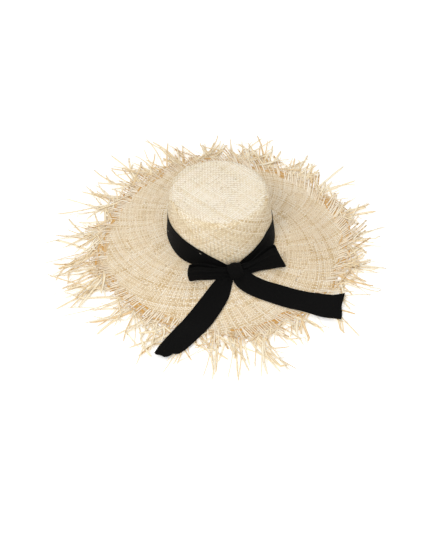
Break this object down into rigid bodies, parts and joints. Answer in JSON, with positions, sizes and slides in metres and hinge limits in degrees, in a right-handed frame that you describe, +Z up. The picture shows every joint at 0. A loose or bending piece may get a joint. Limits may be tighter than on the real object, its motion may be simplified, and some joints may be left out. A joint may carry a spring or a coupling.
{
  "type": "straw sun hat",
  "caption": "Wide-brimmed woven straw sun hat with a frayed brim edge, a flat-topped crown and a black ribbon tied in a bow.",
  "frame": {"origin": "centre of the plane that the brim rests on, under the middle of the crown", "axes": "+Z up through the crown, -Y towards the bow, +X to the right as seen from in front of the bow"},
  "size_m": [0.61, 0.61, 0.1195],
  "materials": {
    "straw": "natural straw in a fine close weave, pale cream to tan, matt with a slight silky sheen",
    "loose_straw": "loose flat straw ends, pale cream to golden tan",
    "ribbon": "black matt cotton ribbon with a fine cross rib",
    "sweatband": "beige ribbed cotton band",
    "pale_thread": "natural cotton thread"
  },
  "bodies": {
    "hat": {"brim": "straw", "crown": "straw", "fringe_tuft_01": "loose_straw", "fringe_tuft_02": "loose_straw", "fringe_tuft_03": "loose_straw", "fringe_tuft_04": "loose_straw", "fringe_tuft_05": "loose_straw", "fringe_tuft_06": "loose_straw", "fringe_tuft_07": "loose_straw", "fringe_tuft_08": "loose_straw", "fringe_tuft_09": "loose_straw", "fringe_tuft_10": "loose_straw", "fringe_tuft_11": "loose_straw", "fringe_tuft_12": "loose_straw", "fringe_tuft_13": "loose_straw", "fringe_tuft_14": "loose_straw", "fringe_tuft_15": "loose_straw", "fringe_tuft_16": "loose_straw", "fringe_tuft_17": "loose_straw", "fringe_tuft_18": "loose_straw", "fringe_tuft_19": "loose_straw", "fringe_tuft_20": "loose_straw", "fringe_tuft_21": "loose_straw", "fringe_tuft_22": "loose_straw", "fringe_tuft_23": "loose_straw", "fringe_tuft_24": "loose_straw", "sweatband": "sweatband", "sweatband_stitching": "pale_thread", "ribbon_band": "ribbon", "ribbon_tack_front": "pale_thread", "ribbon_tack_left": "pale_thread", "ribbon_tack_right": "pale_thread", "ribbon_tack_back": "pale_thread", "bow_knot": "ribbon", "bow_loop_left": "ribbon", "bow_loop_right": "ribbon"},
    "tail_left": {"ribbon_tail_left": "ribbon"},
    "tail_right": {"ribbon_tail_right": "ribbon"}
  },
  "joints": [
    {"name": "tail_left_lift", "type": "hinge", "parent": "hat", "child": "tail_left", "pos_m": [-0.002, -0.1215, 0.0221], "axis": [-0.989, 0.1478, 0], "range_deg": [0, 85]},
    {"name": "tail_right_lift", "type": "hinge", "parent": "hat", "child": "tail_right", "pos_m": [-0.002, -0.1215, 0.0221], "axis": [-0.989, -0.1478, 0], "range_deg": [0, 85]}
  ]
}
